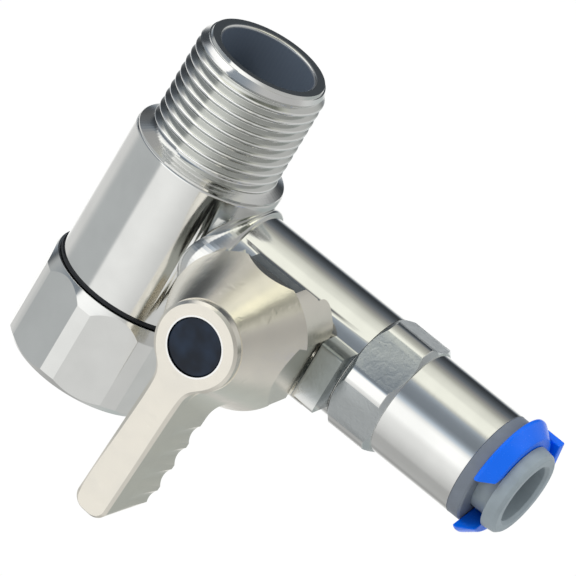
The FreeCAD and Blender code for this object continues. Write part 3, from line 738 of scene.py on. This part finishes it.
# %% Outlet, handle, cap, ring, collet and clip
finished_piece(
    "push_fit_outlet", joined_copy("outlet_body"), outlet_plate, "valve",
    edge=0.14, replaced=("outlet_body",),
)
finished_piece(
    "lever_handle", joined_copy("handle", 0.02), satin, "lever",
    edge_angle=22.0, replaced=("handle",),
)
finished_piece(
    "eye_cap", joined_copy("handle_cap"), cap_plastic, "lever",
    edge=0.05, replaced=("handle_cap",),
)
finished_piece(
    "socket_ring", joined_copy("cartridge_cap"), ring_plastic, "valve",
    edge=0.1, replaced=("cartridge_cap",),
)
finished_piece(
    "release_collet", joined_copy("collet"), collet_plastic, "valve",
    edge=0.12, replaced=("collet",),
)
finished_piece(
    "release_clip", joined_copy("lock_clip"), clip_plastic, "valve",
    edge=0.28, replaced=("lock_clip",),
)

# %% [markdown]
# The pieces inside need no new shape. Each node gets the finish of its record slot.

# %% Finishes of the remaining nodes
finishes = {
    "plated_brass": ball_plate,
    "satin_plate": satin,
    "bare_brass": brass,
    "steel": steel,
    "black_rubber": black_rubber,
    "black_plastic": black_plastic,
    "white_plastic": white_plastic,
    "dark_grey_plastic": ring_plastic,
    "grey_plastic": collet_plastic,
    "blue_plastic": clip_plastic,
    "navy_plastic": cap_plastic,
}
subparts = frame["record"]["subparts"]
for part in subparts:
    node = nodes[part["node"]]
    node.data.materials.clear()
    node.data.materials.append(finishes[part["material_slot"]])
print("nodes dressed", len(subparts))

# %% [markdown]
# The studio is a white tent. What makes bright metal look like metal is the few darker things it
# reflects. They are soft bands of the world that only glossy rays see. Each wall is a ramp from
# its floor to its top: the near one, on the camera's side, is bright low down and dark above the
# middle, the far one and its corner are dark at the height of the eye, and the left, right and
# back walls are greyer. The walls follow one another round the tent with soft joints. A dark spot
# stands for the gap that the tent's top leaves, and two bright ones for lamps behind the cloth.
# The camera sees plain white behind the object, and matte surfaces get even light.

# %% World
world = bpy.data.worlds.new("studio")
bpy.context.scene.world = world
world.use_nodes = True
sky = world.node_tree
sky.nodes.clear()
start = Wire(sky)
direction = start.node("ShaderNodeTexCoord", out=0)


def towards(x, y, z=0.0):
    """How far a ray points towards a direction, from -1 to 1."""
    goal = Vector((x, y, z)).normalized()
    values = {0: direction, 1: goal}
    return start.node("ShaderNodeVectorMath", {"operation": "DOT_PRODUCT"}, values, 1)


def spot(azimuth_deg, elevation_deg, outer_deg, inner_deg):
    """Soft round spot in one direction, by the half angles where it ends and where it is full."""
    a, e = math.radians(azimuth_deg), math.radians(elevation_deg)
    part = towards(math.cos(a) * math.cos(e), math.sin(a) * math.cos(e), math.sin(e))
    return part.smooth(math.cos(math.radians(outer_deg)), math.cos(math.radians(inner_deg)))


def sector(begins, full, ends_full, ends):
    """Soft-edged part of the tent's wall, from four azimuths in degrees."""
    return azimuth.smooth(begins, full) * (1.0 - azimuth.smooth(ends_full, ends))


def wall(stops):
    """Colours of a wall by elevation: (elevation in degrees, level, tint) from the floor up."""
    placed = []
    for elevation_deg, level, tint in stops:
        place = 0.5 + 0.5 * math.sin(math.radians(elevation_deg))
        placed.append((place, tuple(level * part for part in tint)))
    return start.node("ShaderNodeValToRGB", {"stops": placed}, {0: height * 0.5 + 0.5})


height = towards(0, 0, 1)
half_turn = start.maths("ARCTAN2", 0.0 - towards(0, 1), 0.0 - towards(1, 0))
azimuth = half_turn * (180.0 / math.pi) + 180.0
plain = (1.0, 1.0, 0.99)
cool = (0.88, 1.0, 1.14)
cool_grey = (0.965, 1.0, 1.015)
olive = (1.0, 1.0, 0.90)
sage = (0.93, 1.0, 0.99)
near_wall = wall([
    (-80, 0.50, plain), (-69, 0.59, plain), (-57, 0.67, plain), (-45, 0.80, plain),
    (-33, 0.92, plain), (-21, 0.99, plain), (-15, 1.10, plain), (-8, 1.28, plain),
    (9, 1.28, plain), (15, 1.06, plain), (21, 0.68, cool), (27, 0.36, cool), (33, 0.25, cool),
    (45, 0.27, cool), (51, 0.31, cool), (57, 0.42, cool), (63, 0.68, olive), (69, 0.95, olive),
    (80, 0.97, olive),
])
far_wall = wall([
    (-80, 0.48, plain), (-69, 0.44, plain), (-57, 0.38, plain), (-51, 0.50, plain),
    (-45, 0.71, plain), (-39, 0.93, plain), (-30, 1.12, plain), (-18, 1.10, plain),
    (-9, 0.94, plain), (-3, 0.70, plain), (3, 0.28, cool), (8, 0.07, cool), (15, 0.04, cool),
    (27, 0.08, cool), (39, 0.16, cool), (48, 0.28, plain), (57, 0.48, olive), (64, 0.74, olive),
    (72, 0.95, olive),
])
corner_wall = wall([
    (-80, 0.48, plain), (-45, 0.62, plain), (-27, 0.75, plain), (-19, 0.72, plain),
    (-13, 0.36, cool), (-8, 0.08, cool), (15, 0.05, cool), (27, 0.10, cool), (33, 0.24, cool),
    (39, 0.38, plain), (51, 0.40, plain), (57, 0.50, olive), (63, 0.66, olive), (72, 0.92, olive),
])
left_wall = wall([
    (-80, 0.48, plain), (-45, 0.52, plain), (-27, 0.53, cool_grey), (-3, 0.50, cool_grey),
    (6, 0.30, cool), (15, 0.16, cool), (22, 0.30, cool), (30, 0.98, plain), (39, 1.06, plain),
    (48, 1.20, plain), (60, 1.02, olive), (68, 1.10, olive), (80, 1.08, olive),
])
right_wall = wall([
    (-80, 0.50, plain), (-45, 0.76, plain), (-27, 0.69, plain), (-15, 0.62, plain),
    (0, 0.56, plain), (15, 0.50, plain), (33, 0.42, plain), (46, 0.48, plain), (54, 0.78, olive),
    (72, 0.98, olive),
])
back_wall = wall([
    (-80, 0.66, plain), (-60, 0.60, sage), (-45, 0.50, sage), (-27, 0.44, sage), (0, 0.48, sage),
    (27, 0.62, plain), (50, 0.62, plain), (60, 0.62, olive), (72, 1.05, olive),
])
walls = sector(20, 40, 75, 92).mix(right_wall, back_wall)
walls = sector(75, 94, 118, 152).mix(walls, far_wall)
walls = sector(123, 141, 158, 184).mix(walls, corner_wall)
walls = sector(158, 180, 240, 260).mix(walls, left_wall)
walls = sector(232, 237, 262, 318).mix(walls, near_wall)
tent_gap = spot(345, 73, 27, 11)
top_lamp = spot(54, 76, 12, 6)
side_lamp = spot(177, 50, 16, 6)
walls = (0.95 * tent_gap).mix(walls, rgb(0.09, 0.10, 0.085))
walls = top_lamp.mix(walls, rgb(1.25, 1.24, 1.02))
walls = side_lamp.mix(walls, rgb(1.25, 1.25, 1.20))
rays = start.node("ShaderNodeLightPath").socket.node
is_camera = Wire(sky, rays.outputs["Is Camera Ray"])
is_glossy = Wire(sky, rays.outputs["Is Glossy Ray"])
light = is_glossy.mix(rgb(0.60, 0.60, 0.60), walls)
light = is_camera.mix(light, rgb(1.0, 1.0, 1.0))
background = start.node("ShaderNodeBackground", values={"Color": light, "Strength": 1.0})
output = sky.nodes.new("ShaderNodeOutputWorld")
sky.links.new(background.socket, output.inputs[0])
print("world made")

# %% [markdown]
# Two large lamps add a soft direction to the light on rubber and plastic, the stronger from the
# upper left.

# %% Lamps
valve_middle = Vector((0.03, 0.0, 0.03))


def soft_lamp(name, place, size, power):
    """Round lamp of some size and power that points at the valve and shows in no reflection."""
    data = bpy.data.lights.new(name, "AREA")
    data.shape = "DISK"
    data.size = size
    data.energy = power
    lamp = bpy.data.objects.new(name, data)
    lamp.location = place
    aim = valve_middle - Vector(place)
    lamp.rotation_euler = aim.to_track_quat("-Z", "Y").to_euler()
    lamp.visible_glossy = False
    bpy.context.scene.collection.objects.link(lamp)


soft_lamp("key_lamp", (-0.5, -0.8, 0.9), 0.5, 6.0)
soft_lamp("fill_lamp", (0.8, 0.4, 0.9), 0.7, 3.5)
print("lamps", len(bpy.data.lights))

# %% [markdown]
# The valve is held by its thread, as on a pipe, and the floor lies some way below it. Its paper
# is matte and keeps a faint shadow, and it glows white for the camera only.

# %% Floor
floor_half = 4.0
floor_height = -0.10
white = rgb(1.0, 1.0, 1.0)
floor_shape = bmesh.new()
bmesh.ops.create_grid(floor_shape, x_segments=1, y_segments=1, size=floor_half)
bmesh.ops.translate(floor_shape, verts=floor_shape.verts, vec=(0, 0, floor_height))
floor_mesh = bpy.data.meshes.new("floor")
floor_shape.to_mesh(floor_mesh)
floor_shape.free()
floor = bpy.data.objects.new("floor", floor_mesh)
bpy.context.scene.collection.objects.link(floor)
floor.visible_glossy = False
paper = bpy.data.materials.new("white_paper")
paper.use_nodes = True
tree = paper.node_tree
tree.nodes.clear()
start = Wire(tree)
rays = start.node("ShaderNodeLightPath").socket.node
seen = Wire(tree, rays.outputs["Is Camera Ray"])
matte = start.node("ShaderNodeBsdfDiffuse", values={"Color": rgb(0.92, 0.92, 0.92)})
glow = start.node("ShaderNodeEmission", values={"Color": white, "Strength": 1.03})
surface = start.node("ShaderNodeMixShader", values={0: seen * 0.9, 1: matte, 2: glow})
output = tree.nodes.new("ShaderNodeOutputMaterial")
tree.links.new(surface.socket, output.inputs[0])
floor_mesh.materials.append(paper)
print("floor at", floor_height)

# %% [markdown]
# The view is left plain.

# %% Finish
bpy.context.scene.view_settings.view_transform = "Standard"
